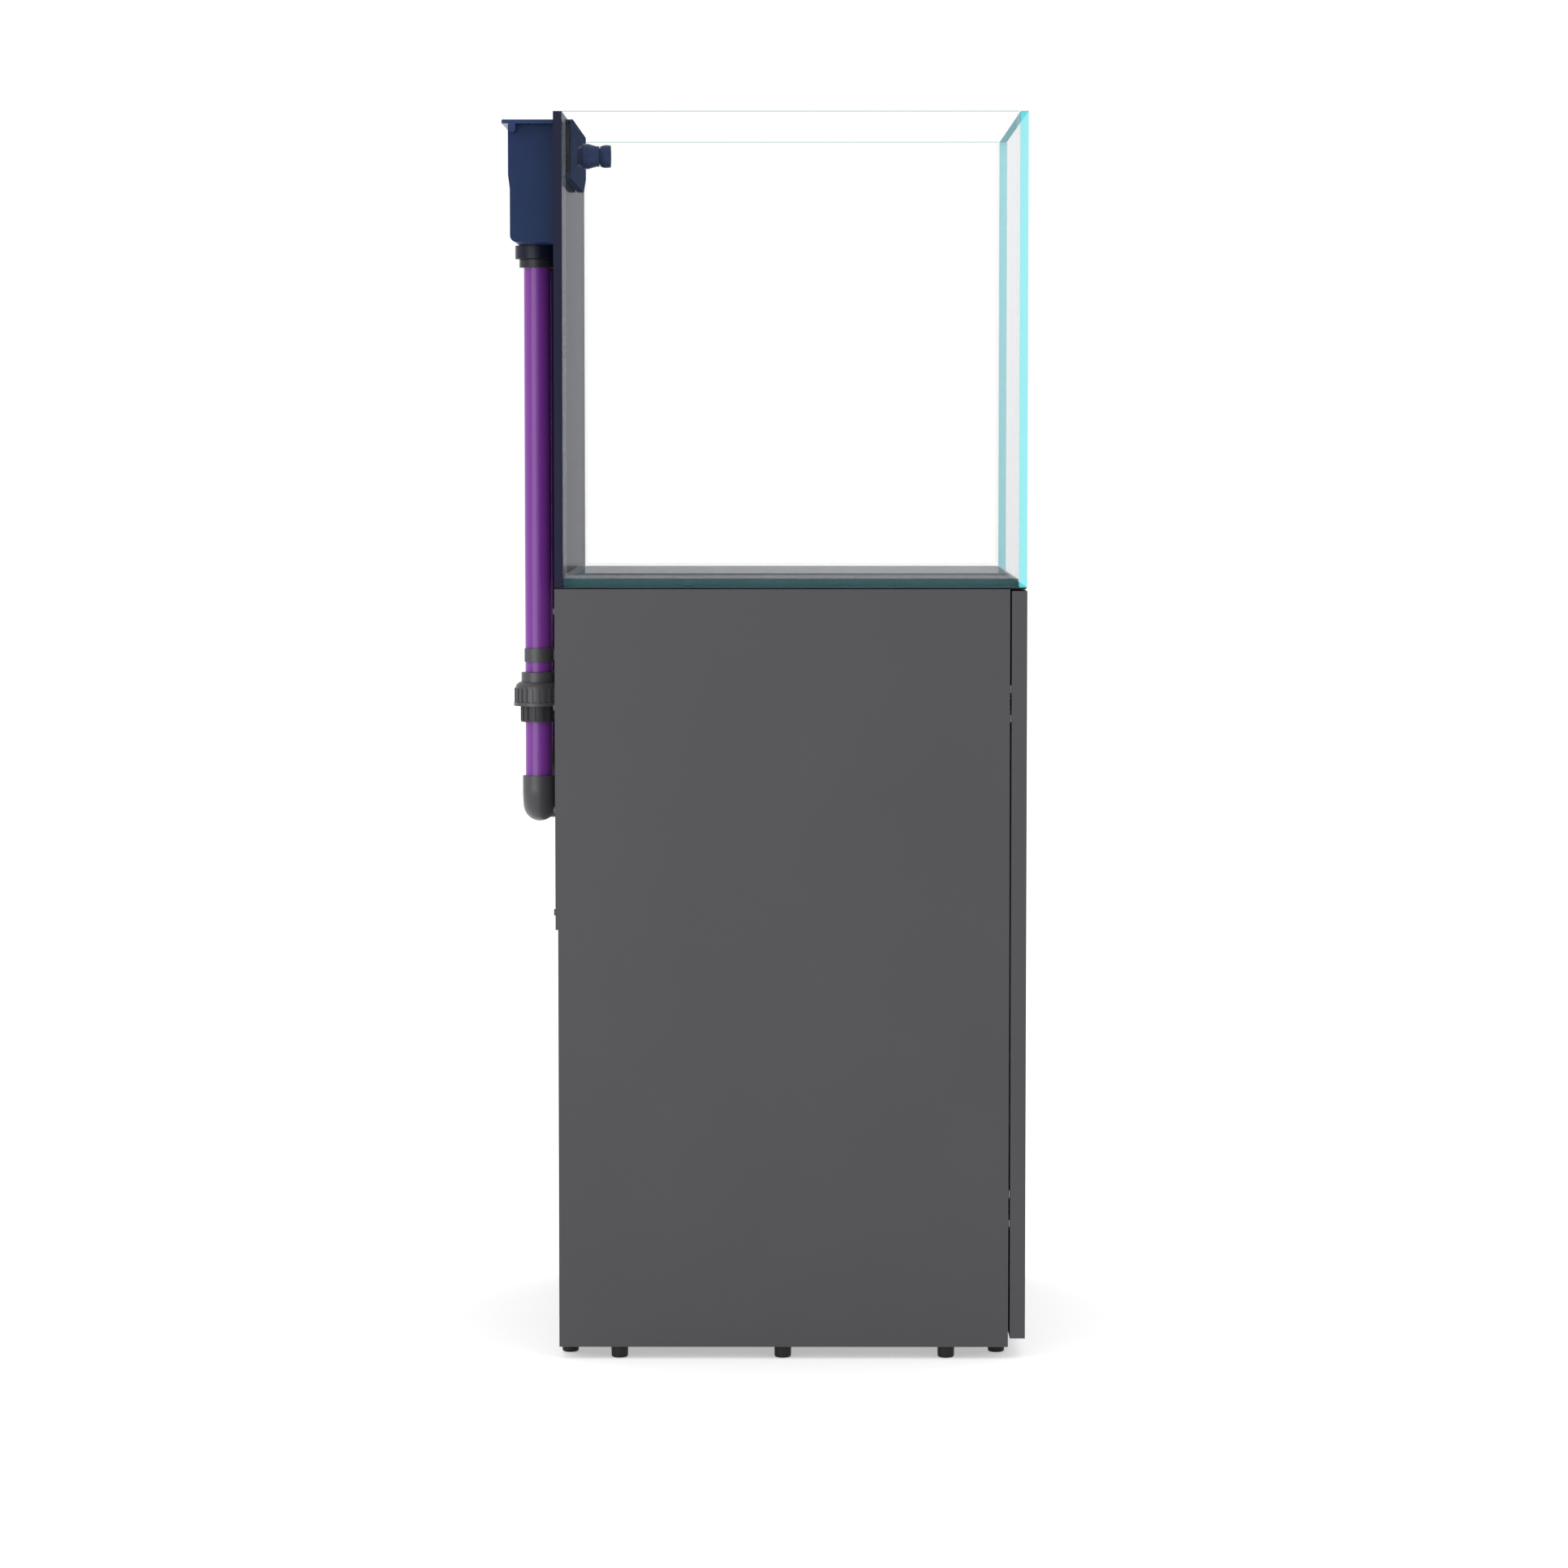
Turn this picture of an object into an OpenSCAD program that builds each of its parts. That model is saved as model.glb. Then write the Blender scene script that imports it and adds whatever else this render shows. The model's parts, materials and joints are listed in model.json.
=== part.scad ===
// Rimless aquarium on a cabinet stand, with a rear overflow box, three
// plumbing lines, a sump with its return pump, and two handleless doors.
// +Z is up, the doors face -Y, and the origin is on the floor at the centre
// of the outline.

/* [Tank] */
// Width of the tank and of the cabinet
tank_w = 600; // [580:5:660]
// Depth of the tank, front pane to back pane
tank_d = 550; // [540:5:620]
// Height of the panes
tank_h = 550; // [450:5:620]
// Thickness of every pane
glass_t = 10; // [8:1:12]

/* [Cabinet] */
// Height of the side boards
side_h = 890; // [860:5:960]
// Thickness of the boards and of the doors
board_t = 18; // [18:1:19]
// Height of the feet under the boards
foot_h = 14; // [8:1:30]
// Thickness of the levelling mat under the tank
mat_t = 2; // [2:1:8]
// Thickness of the upper back panel
back_t = 3; // [3:1:5]
// Height of the upper back panel
back_h = 398; // [390:2:420]
// Gap between a closed door and the boards
door_gap = 2; // [2:0.5:3]
// Gap between the two doors
door_split = 3; // [2:0.5:4]

/* [Overflow] */
// How far the overflow lid reaches behind the tank
lid_reach = 61; // [61:1:70]
// Length of the weir and of the overflow lid
weir_w = 350; // [350:5:380]
// Distance from the left face of the tank to the weir
weir_inset = 25; // [20:1:30]
// Depth of the weir inside the tank
weir_d = 12; // [12:1:16]
// Distance from the rim down to the weir's top
rim_drop = 8; // [6:1:15]

/* [Plumbing] */
// Outer diameter of the pipes
pipe_od = 32; // [32:1:33]
// Wall of the pipes
pipe_wall = 2.4; // [2:0.2:3]
// Distance from the tank's back face to the pipes' centre line
pipe_offset = 26.4; // [26.4:0.1:28]

/* [Hinges] */
// Diameter of the hinge cups
hinge_cup_d = 35; // [34:0.5:35]

/* [Hidden] */
$fn = 64;
eps = 0.01;

// Colours
c_glass = [0.75, 0.95, 0.96, 0.4];
c_back = [0.17, 0.18, 0.24];
c_board = [0.33, 0.33, 0.35];
c_blue = [0.17, 0.23, 0.36];
c_purple = [0.49, 0.27, 0.61];
c_fitting = [0.36, 0.36, 0.38];
c_black = [0.1, 0.1, 0.11];
c_metal = [0.62, 0.62, 0.64];

// Main planes
half_w = tank_w / 2;
front_y = -(tank_d + lid_reach) / 2;
back_y = front_y + tank_d;
inner_back_y = back_y - glass_t;
side_top_z = foot_h + side_h;
tank_z = side_top_z + mat_t;
rim_z = tank_z + tank_h;

// Cabinet
carcass_front_y = front_y + board_t + door_gap;
carcass_back_y = back_y - back_t;
inner_half_w = half_w - board_t;
door_z = foot_h + 10;
door_top_z = side_top_z - 2;
door_w = (tank_w - door_split) / 2;
hinge_zs = [foot_h + 162, side_top_z - 134];

// Overflow
weir_x0 = -half_w + weir_inset;
weir_x1 = weir_x0 + weir_w;
weir_top_z = rim_z - rim_drop;
weir_h = 67;
weir_z = weir_top_z - weir_h;
weir_face_y = inner_back_y - weir_d;
lid_t = 4.7;
box_top_z = weir_top_z - lid_t - 0.3;
box_floor_z = box_top_z - 136;
box_wall = 4;
box_front_y = back_y + 2;
box_back_y = back_y + 54.5;
box_x0 = weir_x0 + 17;
box_x1 = weir_x1 - 17;
slot_r = 20;
slot_z = weir_top_z - 35;
slot_x0 = weir_x0 + 30;
slot_x1 = weir_x1 - 30;
screw_xs = [box_x0 + 12, box_x1 - 12];
screw_zs = [slot_z - 17, slot_z + 17];

// Plumbing lines
pipe_r = pipe_od / 2;
pipe_bore = pipe_r - pipe_wall;
socket_r = pipe_r + 0.05;
pipe_y = back_y + pipe_offset;
return_x = -half_w + 150;
main_x = return_x + 117;
emergency_x = main_x + 62;
line_xs = [return_x, main_x, emergency_x];
nozzle_z = slot_z - 0.7;
collar_z = box_floor_z - 26;
pipe_top_z = box_floor_z - 8;
union_z = foot_h + 728;
union_half = union_z + 22;
elbow_r = pipe_r + 3.5;
elbow_bend = elbow_r + 1.5;
elbow_leg = 36.5;
socket_depth = 20;
return_elbow_z = foot_h + 626.5;
entry_x = return_x + 2 * elbow_leg + 5;
drain_elbow_z = foot_h + 654.5;
return_inner_y = pipe_y - 100.5;
drain_inner_y = pipe_y - 170.5;
valve_z = foot_h + 546;
drop_end_z = foot_h + 226;

// Sump
sump_x0 = -half_w + 50;
sump_x1 = sump_x0 + 380;
sump_y1 = carcass_back_y - 36.5;
sump_y0 = sump_y1 - 380;
sump_z = foot_h + board_t;
sump_h = 310;
sump_t = 6;
baffle_x = sump_x0 + 140;
sock_x = (main_x + emergency_x) / 2;
sock_y = drain_inner_y;
shelf_z = sump_z + 228;
pump_x = sump_x0 + 65;
pump_y = sump_y1 - 75;
pump_z = sump_z + sump_t + 42;

// Doors: hinge points measured from the side board's outer front corner,
// inwards and forwards
hinge_a = [25, -12];
hinge_b = [8, 6];
cup_x = 21;

// ---- shared shapes ----

module block(low, high) {
  translate(low) cube(high - low);
}

module tube_z(od_r, id_r, z0, z1) {
  translate([0, 0, z0]) difference() {
    cylinder(r = od_r, h = z1 - z0);
    translate([0, 0, -1]) cylinder(r = id_r, h = z1 - z0 + 2);
  }
}

// A solid cylinder whose axis runs towards -Y from y_start
module rod_y(r, y_start, y_end) {
  translate([0, y_start, 0]) rotate([90, 0, 0]) cylinder(r = r, h = y_start - y_end);
}

// A prism along X whose outline is given as [y, z] points
module prism_x(points, x0, x1) {
  translate([x0, 0, 0]) rotate([90, 0, 90]) linear_extrude(x1 - x0) polygon(points);
}

function arc(cx, cy, r, a0, a1, n = 8) =
  [for (i = [0:n]) [cx + r * cos(a0 + (a1 - a0) * i / n), cy + r * sin(a0 + (a1 - a0) * i / n)]];

// A stadium-shaped hole along Y
module slot_cut(y0, y1, r, z) {
  block([slot_x0 + r, y0, z - r], [slot_x1 - r, y1, z + r]);
  for (x = [slot_x0 + r, slot_x1 - r])
    translate([x, y1, z]) rotate([90, 0, 0]) cylinder(r = r, h = y1 - y0);
}

// A quarter-turn elbow with its corner at the origin, one leg up and one towards +X
module elbow() {
  module run(r, depth) {
    leg = depth - elbow_bend;
    translate([elbow_bend, 0, elbow_bend]) rotate([90, 180, 0])
      rotate_extrude(angle = 90) translate([elbow_bend, 0]) circle(r = r);
    translate([0, 0, elbow_bend]) cylinder(r = r, h = leg);
    translate([elbow_bend, 0, 0]) rotate([0, 90, 0]) cylinder(r = r, h = leg);
  }
  difference() {
    run(elbow_r, elbow_leg);
    run(pipe_bore, elbow_leg + 1);
    translate([0, 0, elbow_leg - socket_depth])
      cylinder(r = socket_r, h = socket_depth + 1);
    translate([elbow_leg - socket_depth, 0, 0]) rotate([0, 90, 0])
      cylinder(r = socket_r, h = socket_depth + 1);
  }
}

// ---- tank ----

module front_glass() {
  color(c_glass) block([-half_w, front_y, tank_z], [half_w, front_y + glass_t, rim_z]);
}

module back_glass() {
  color(c_back) difference() {
    block([-half_w, inner_back_y, tank_z], [half_w, back_y, rim_z]);
    slot_cut(inner_back_y - 1, back_y + 1, slot_r, slot_z);
    for (x = screw_xs, z = screw_zs)
      translate([x, 0, z]) rod_y(3.5, back_y + 1, inner_back_y - 1);
  }
}

module side_pane(x0) {
  color(c_glass)
    block([x0, front_y + glass_t, tank_z], [x0 + glass_t, inner_back_y, rim_z]);
}

module left_glass() { side_pane(-half_w); }

module right_glass() { side_pane(half_w - glass_t); }

module base_glass() {
  color(c_glass) block([-half_w + glass_t, front_y + glass_t, tank_z],
                       [half_w - glass_t, inner_back_y, tank_z + glass_t]);
}

module tank_silicone() {
  bead = 4;
  x = half_w - glass_t;
  y0 = front_y + glass_t;
  y1 = inner_back_y;
  z = tank_z + glass_t;
  module corner_bead(sx, sy, px, py) {
    translate([px, py, z]) linear_extrude(rim_z - z - 2)
      polygon([[0, 0], [sx * bead, 0], [0, sy * bead]]);
  }
  color("white") union() {
    corner_bead(1, 1, -x, y0);
    corner_bead(-1, 1, x, y0);
    corner_bead(1, -1, -x, y1);
    corner_bead(-1, -1, x, y1);
    prism_x([[y0, z], [y0 + bead, z], [y0, z + bead]], -x, x);
    prism_x([[y1, z], [y1 - bead, z], [y1, z + bead]], -x, x);
    translate([0, y1, 0]) rotate([90, 0, 0]) linear_extrude(y1 - y0)
      polygon([[-x, z], [-x + bead, z], [-x, z + bead]]);
    translate([0, y1, 0]) rotate([90, 0, 0]) linear_extrude(y1 - y0)
      polygon([[x, z], [x - bead, z], [x, z + bead]]);
  }
}

module support_mat() {
  color(c_black) block([-half_w + 1, front_y + 1, side_top_z], [half_w - 1, back_y - 1, tank_z]);
}

// ---- overflow ----

hood_wall = 3.8;
hood_rear_y = inner_back_y - 1.5;
tab_t = 1.8;

// Shell over the slot: water enters through the teeth along its top
module weir_hood() {
  wall = 3;
  tab_w = 36;
  pitch = 8;
  color(c_blue) difference() {
    union() {
      difference() {
        prism_x([[weir_face_y + 2.5, weir_z], [weir_face_y, weir_z + 16],
                 [weir_face_y, weir_top_z], [hood_rear_y, weir_top_z], [hood_rear_y, weir_z]],
                weir_x0, weir_x1);
        block([weir_x0 + wall, weir_face_y + hood_wall, weir_z + wall],
              [weir_x1 - wall, hood_rear_y + 1, weir_top_z - wall]);
        // end openings
        block([weir_x0 - 1, weir_face_y + wall, weir_z + 5],
              [weir_x1 + 1, hood_rear_y - tab_t, weir_top_z - wall]);
      }
      // tabs under the screws' heads
      for (x = [weir_x0, weir_x1 - tab_w])
        block([x, hood_rear_y - tab_t, weir_z], [x + tab_w, hood_rear_y, weir_top_z]);
    }
    for (x = [weir_x0 + 12 : pitch : weir_x1 - 12])
      block([x, weir_face_y - 1, weir_top_z - 18], [x + 3, weir_face_y + hood_wall + 1, weir_top_z - 5]);
    for (x = screw_xs, z = screw_zs) translate([x, 0, z]) rod_y(3.1, inner_back_y, weir_face_y + 5);
    translate([return_x, 0, nozzle_z]) rod_y(10.6, inner_back_y, weir_face_y - 1);
  }
}

// Strainer inside the hood, with a slotted leg at each end
module weir_comb() {
  plate_y = weir_face_y + hood_wall + 0.3;
  plate_t = 1.6;
  leg_y = hood_rear_y - tab_t - 0.1;
  x0 = weir_x0 + 3.3;
  x1 = weir_x1 - 3.3;
  z0 = weir_z + 3.3;
  pitch = 8;
  color(c_black) difference() {
    union() {
      block([x0, plate_y, z0], [x1, plate_y + plate_t, weir_top_z - 3.3]);
      for (x = [x0, x1 - 2])
        block([x, plate_y, z0], [x + 2, leg_y, weir_top_z - 3.3]);
    }
    for (x = [x0 + 8 : pitch : x1 - 10])
      translate([x, plate_y - 1, weir_z + 8]) cube([3, plate_t + 2, 30]);
    for (x = [x0 - 1, x1 - 3], i = [0:4])
      block([x, plate_y + plate_t + 0.4, weir_z + 8 + i * 5], [x + 4, leg_y - 0.6, weir_z + 10 + i * 5]);
    translate([return_x, 0, nozzle_z]) rod_y(13.4, inner_back_y, weir_face_y);
  }
}

// Flat gaskets on both faces of the back pane, round the slot
module glass_gaskets() {
  module sheet(x0, x1, y0, y1, z1) {
    difference() {
      block([x0, y0, slot_z - slot_r - 8], [x1, y1, z1]);
      slot_cut(y0 - 1, y1 + 1, slot_r, slot_z);
      for (x = screw_xs, z = screw_zs) translate([x, 0, z]) rod_y(3.5, y1 + 1, y0 - 1);
    }
  }
  color(c_black) {
    sheet(weir_x0, weir_x1, inner_back_y - 1.5, inner_back_y, weir_top_z - 3.5);
    sheet(box_x0, box_x1, back_y, box_front_y, box_top_z);
  }
}

// Outline of the overflow box in [y, z], shrunk by inset for the room inside
function box_outline(inset, top) = concat(
  [[box_front_y + inset, top], [box_back_y - inset, top],
   [box_back_y - inset, box_top_z - 58], [box_back_y - 2 - inset, box_top_z - 74]],
  [for (p = arc(box_back_y - 10, box_floor_z + 8, 8 - inset, 0, -90)) p],
  [[box_front_y + inset, box_floor_z + inset]]);

module overflow_box() {
  color(c_blue) difference() {
    prism_x(box_outline(0, box_top_z), box_x0, box_x1);
    prism_x(box_outline(box_wall, box_top_z + 1), box_x0 + box_wall, box_x1 - box_wall);
    slot_cut(box_front_y - 1, box_front_y + box_wall + 1, slot_r, slot_z);
    for (x = line_xs)
      translate([x, pipe_y, box_floor_z - 1]) cylinder(r = 17.7, h = box_wall + 2);
    for (x = screw_xs, z = screw_zs)
      translate([x, 0, z]) rod_y(3.1, box_front_y + box_wall + 1, box_front_y - 1);
  }
}

module overflow_lid() {
  lug_w = 8;
  lug_y = box_back_y - 6;
  z0 = box_top_z + 0.3;
  color(c_blue) union() {
    difference() {
      block([weir_x0, back_y + 0.6, z0], [weir_x1, back_y + lid_reach, weir_top_z]);
      for (x = [weir_x0, weir_x1])
        translate([x, back_y + lid_reach, z0 - 1]) rotate([0, 0, 45])
          cube([3, 3, 20], center = true);
    }
    // half-round lugs that hook over the ends of the box
    for (span = [[weir_x0, box_x0 - 0.4], [box_x1 + 0.4, weir_x1]])
      prism_x(concat([[lug_y + lug_w / 2, z0 + 0.5]],
                     [for (p = arc(lug_y, z0 - 5.7, lug_w / 2, 0, -180, 12)) p],
                     [[lug_y - lug_w / 2, z0 + 0.5]]),
              span[0], span[1]);
  }
}

module box_screws() {
  head_y = hood_rear_y - tab_t;
  color(c_black) for (x = screw_xs, z = screw_zs) translate([x, 0, z]) {
    rod_y(3, box_front_y + box_wall + 12, head_y);
    // head inside the weir
    rod_y(3.9, head_y, head_y - 2);
    // nut inside the box
    translate([0, box_front_y + box_wall, 0]) rotate([-90, 0, 0])
      cylinder(r = 6.5, h = 7, $fn = 6);
  }
}

module bulkhead_bodies() {
  color(c_fitting) for (x = line_xs) translate([x, pipe_y, 0]) difference() {
    union() {
      translate([0, 0, box_floor_z + box_wall]) cylinder(r = 18, h = 5);
      translate([0, 0, collar_z + 10]) cylinder(r = 17.5, h = 26);
    }
    translate([0, 0, collar_z]) cylinder(r = 13.05, h = 60);
    translate([0, 0, collar_z]) cylinder(r = socket_r, h = pipe_top_z - collar_z);
  }
}

module bulkhead_nuts() {
  color(c_blue) for (x = line_xs) translate([x, pipe_y, 0])
    tube_z(26.1, 17.6, box_floor_z - 16, box_floor_z);
}

module pipe_collars() {
  color(c_fitting) for (x = line_xs) translate([x, pipe_y, 0])
    tube_z(21.2, socket_r, collar_z, collar_z + 9.8);
}

module return_riser() {
  r = 13;
  bore = 10.5;
  bend = 15;
  start_z = pipe_top_z + 0.5;
  module run(rr, extra) {
    translate([0, 0, start_z - extra]) cylinder(r = rr, h = nozzle_z - bend - start_z + extra);
    translate([0, -bend, nozzle_z - bend]) rotate([90, 0, 90])
      rotate_extrude(angle = 90) translate([bend, 0]) circle(r = rr);
    translate([0, -bend, nozzle_z])
      rod_y(rr, 0, weir_face_y + hood_wall + 0.1 - pipe_y + bend - extra);
  }
  color(c_fitting) translate([return_x, pipe_y, 0]) difference() {
    run(r, 0);
    run(bore, 1);
  }
}

module standpipe(x, top_z, slot_h) {
  slots = 8;
  color(c_fitting) translate([x, pipe_y, 0]) difference() {
    tube_z(13, 10.5, pipe_top_z + 0.5, top_z);
    for (i = [0:slots - 1]) rotate([0, 0, i * 360 / slots])
      translate([6, -1.2, top_z - slot_h - 4]) cube([10, 2.4, slot_h]);
  }
}

// The main drain takes the flow; the taller one takes over if it blocks
module standpipes() {
  standpipe(main_x, box_floor_z + 60, 22);
  standpipe(emergency_x, box_floor_z + 112, 8);
}

// ---- nozzle, drawn along +Z from the weir's face, then turned towards -Y ----

module on_nozzle_axis() {
  translate([return_x, weir_face_y, nozzle_z]) rotate([90, 0, 0]) children();
}

// Face of the fixed collar, and the ball that the tip turns on
collar_face = 5.6;
ball_at = 32.2;
ball_r = 11.6;

module nozzle_base() {
  color(c_blue) on_nozzle_axis() difference() {
    union() {
      translate([0, 0, -13]) cylinder(r = 10.4, h = 13 + eps);
      cylinder(r = 11.6, h = 1.6);
      cylinder(r = 9, h = 3);
      translate([0, 0, 2.8]) cylinder(r = 12.4, h = collar_face - 2.8);
      // spigot that the swivel collar snaps over
      translate([0, 0, collar_face - 0.2]) cylinder(r = 9, h = 7);
      translate([0, 0, collar_face + 5.3]) cylinder(r = 9.8, h = 1.5);
    }
    translate([0, 0, -14]) cylinder(r = 6.5, h = 40);
  }
}

// Swivel collar, then a shoulder that leaves a groove round the ball for the tip's rim
module nozzle_segment() {
  groove_r = ball_r + 1.7;
  color(c_blue) on_nozzle_axis() rotate_extrude() polygon(concat(
    [[9.3, 5.9], [14.4, 5.9], [15, 6.5], [15, 13.4], [14.4, 14.4], [12.2, 22.6],
     [12.2, ball_at - 6.6]],
    arc(0, ball_at, groove_r, asin(-6.6 / groove_r), asin(-9.2 / groove_r), 4),
    arc(0, ball_at, ball_r, asin(-9.2 / ball_r), asin(5 / ball_r), 12),
    [[6, ball_at + 5], [6, 12.8], [10.1, 12.8], [10.1, 10.6], [9.3, 10.6]]));
}

module nozzle_tip() {
  cup_r = ball_r + 0.3;
  color(c_blue) on_nozzle_axis() rotate_extrude() polygon(concat(
    [[11.9, ball_at - 5.4], [12.4, 28], [13.3, 31], [13.6, 33.5], [13.5, 36.5],
     [12.9, ball_at + 7.2]],
    arc(0, ball_at, cup_r, asin(7.2 / cup_r), asin(-5.4 / cup_r), 12)));
}

// ---- plumbing behind and inside the cabinet ----

module pipe_run(z0, z1) { tube_z(pipe_r, pipe_bore, z0, z1); }

module pipe_run_y(y0, y1) {
  difference() {
    rod_y(pipe_r, y1, y0);
    rod_y(pipe_bore, y1 + 1, y0 - 1);
  }
}

module return_pipes() {
  color(c_purple) {
    translate([return_x, pipe_y, 0]) {
      pipe_run(union_half + 20.5, pipe_top_z - 0.5);
      pipe_run(return_elbow_z + 17, union_half - 7);
    }
    translate([return_x + 17, pipe_y, return_elbow_z]) rotate([0, 90, 0])
      pipe_run(0, entry_x - return_x - 34);
    translate([entry_x, 0, return_elbow_z])
      pipe_run_y(return_inner_y + 17, pipe_y - 17);
    translate([entry_x, return_inner_y, 0])
      pipe_run(return_elbow_z - 74, return_elbow_z - 17);
  }
}

module drain_pipes() {
  color(c_purple) {
    for (x = [main_x, emergency_x]) {
      translate([x, pipe_y, 0]) {
        pipe_run(union_half + 20.5, pipe_top_z - 0.5);
        pipe_run(drain_elbow_z + 17, union_half - 7);
      }
      translate([x, 0, drain_elbow_z]) pipe_run_y(drain_inner_y + 17, pipe_y - 17);
    }
    translate([main_x, drain_inner_y, 0]) {
      pipe_run(valve_z + 16, drain_elbow_z - 17);
      pipe_run(drop_end_z, valve_z - 16);
    }
    translate([emergency_x, drain_inner_y, 0]) pipe_run(drop_end_z, drain_elbow_z - 17);
  }
}

module union_sockets() {
  color(c_fitting) for (x = line_xs) translate([x, pipe_y, union_half]) difference() {
    union() {
      translate([0, 0, 10]) cylinder(r = 25, h = 6);
      translate([0, 0, 10]) cylinder(r = 20.75, h = 26.8);
    }
    translate([0, 0, 9]) cylinder(r = pipe_bore, h = 30);
    translate([0, 0, 20]) cylinder(r = socket_r, h = 20);
  }
}

module union_bodies() {
  ribs = 14;
  color(c_fitting) for (x = line_xs) translate([x, pipe_y, union_half]) difference() {
    union() {
      translate([0, 0, -2.8]) cylinder(r = 26.3, h = 12.6);
      translate([0, 0, -22.5]) cylinder(r = 20.6, h = 22);
      translate([0, 0, -22.5]) cylinder(r = 21.6, h = 2);
      for (i = [0:ribs - 1]) rotate([0, 0, (i + 0.5) * 360 / ribs])
        translate([19.8, -1.4, -21.5]) cube([1.9, 2.8, 19.5]);
    }
    translate([0, 0, -40]) cylinder(r = pipe_bore, h = 60);
    translate([0, 0, -41]) cylinder(r = socket_r, h = 41 - 6);
  }
}

module union_nut(x) {
  ribs = 24;
  color(c_fitting) translate([x, pipe_y, union_half]) difference() {
    union() {
      rotate_extrude() polygon([[0, -3.3], [29.8, -3.3], [29.8, 0.8], [28, 1.4],
                                [28, 18], [26.8, 21.8], [24, 24.4], [22.5, 25], [0, 25]]);
      for (i = [0:ribs - 1]) rotate([0, 0, i * 360 / ribs])
        translate([27.2, -1.5, 0.5]) cube([2, 3, 17.3]);
    }
    translate([0, 0, -4]) cylinder(r = 26.6, h = 20.4);
    translate([0, 0, -4]) cylinder(r = 21.05, h = 40);
  }
}

module return_union_nut() { union_nut(return_x); }

module main_union_nut() { union_nut(main_x); }

module emergency_union_nut() { union_nut(emergency_x); }

module return_elbows() {
  color(c_fitting) {
    translate([return_x, pipe_y, return_elbow_z]) elbow();
    // turns from -X towards the cabinet
    translate([entry_x, pipe_y, return_elbow_z]) rotate([0, -90, 0]) rotate([0, 0, -90])
      elbow();
    translate([entry_x, return_inner_y, return_elbow_z]) rotate([180, 0, 90]) elbow();
  }
}

module drain_elbows() {
  color(c_fitting) for (x = [main_x, emergency_x]) {
    translate([x, pipe_y, drain_elbow_z]) rotate([0, 0, -90]) elbow();
    translate([x, drain_inner_y, drain_elbow_z]) rotate([180, 0, 90]) elbow();
  }
}

module pipe_clips() {
  clip_h = 16.5;
  clip_z = foot_h + 799;
  color(c_fitting) for (x = line_xs) translate([x, 0, clip_z]) difference() {
    union() {
      translate([0, pipe_y, 0]) cylinder(r = 18.2, h = clip_h);
      block([-9, back_y, 0], [9, back_y + 4, clip_h]);
      block([-5, back_y + 3, 2], [5, pipe_y - 15, clip_h - 2]);
    }
    translate([0, pipe_y, -1]) cylinder(r = 16.1, h = clip_h + 2);
    block([-7, pipe_y + 10, -1], [7, pipe_y + 30, clip_h + 1]);
  }
}

module gate_valve_body() {
  color(c_fitting) translate([main_x, drain_inner_y, valve_z]) difference() {
    union() {
      translate([0, 0, -35]) cylinder(r = 20.5, h = 70);
      translate([0, 0, -35]) cylinder(r = 22, h = 12);
      translate([0, 0, 23]) cylinder(r = 22, h = 12);
      rod_y(17, 19, -54);
      rod_y(20, -20, -26);
    }
    translate([0, 0, -36]) cylinder(r = 13, h = 72);
    translate([0, 0, 15]) cylinder(r = socket_r, h = 21);
    translate([0, 0, -36]) cylinder(r = socket_r, h = 21);
    block([-13.4, -46, -2.9], [13.4, 14.6, 2.9]);
    rod_y(3.1, 0, -55);
  }
}

// Drawn open: it slides 26.8 towards +Y to close the bore
module valve_gate() {
  color(c_black) translate([main_x, drain_inner_y, valve_z]) difference() {
    block([-13.1, -43.4, -2.6], [13.1, -13.4, 2.6]);
    rod_y(1.9, -10, -50);
  }
}

module valve_handwheel() {
  wheel_y = -64;
  color("firebrick") translate([main_x, drain_inner_y, valve_z]) {
    difference() {
      union() {
        translate([0, wheel_y, 0]) rotate([90, 0, 0]) rotate_extrude()
          translate([24, 0]) circle(r = 3.4, $fn = 32);
        rod_y(6, wheel_y + 5, wheel_y - 4);
        for (i = [0:4]) rotate([0, i * 72, 0]) translate([0, wheel_y + 1.5, 0])
          translate([-2, -3, 4]) cube([4, 3, 19]);
        rod_y(3, -52.5, wheel_y);
        rod_y(1.6, -13.6, -54);
      }
      translate([0, wheel_y - 3, 0]) rotate([90, 0, 0]) cylinder(r = 2, h = 2);
    }
  }
}

// S-bend of the return hose, in the plane from the drop pipe to the pump
hose_r = 19.5;
hose_bend = 156;
hose_angle = 35;
hose_top_z = return_elbow_z - 45;
hose_bend_z = hose_top_z - 40;
hose_dx = pump_x - entry_x;
hose_dy = pump_y - return_inner_y;
hose_shift = norm([hose_dx, hose_dy]);
hose_slant = (hose_shift - 2 * hose_bend * (1 - cos(hose_angle))) / sin(hose_angle);
hose_low_z = hose_bend_z - 2 * hose_bend * sin(hose_angle) - hose_slant * cos(hose_angle);
pump_out_z = sump_z + 133;
hose_end_z = pump_out_z - 30;

hose_steps = 8;
hose_sides = 32;

// Centre line as [along the plane, height, tilt from the vertical]
hose_route = concat(
  [[0, hose_top_z, 0]],
  [for (i = [0:hose_steps]) let (a = hose_angle * i / hose_steps)
    [hose_bend * (1 - cos(a)), hose_bend_z - hose_bend * sin(a), a]],
  [for (i = [hose_steps:-1:0]) let (a = hose_angle * i / hose_steps)
    [hose_shift - hose_bend * (1 - cos(a)), hose_low_z + hose_bend * sin(a), a]],
  [[hose_shift, hose_end_z, 0]]);

function hose_ring(p, r) = [for (k = [0:hose_sides - 1]) let (t = 360 * k / hose_sides)
  [p[0] + r * cos(t) * cos(p[2]), r * sin(t), p[1] + r * cos(t) * sin(p[2])]];

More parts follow.
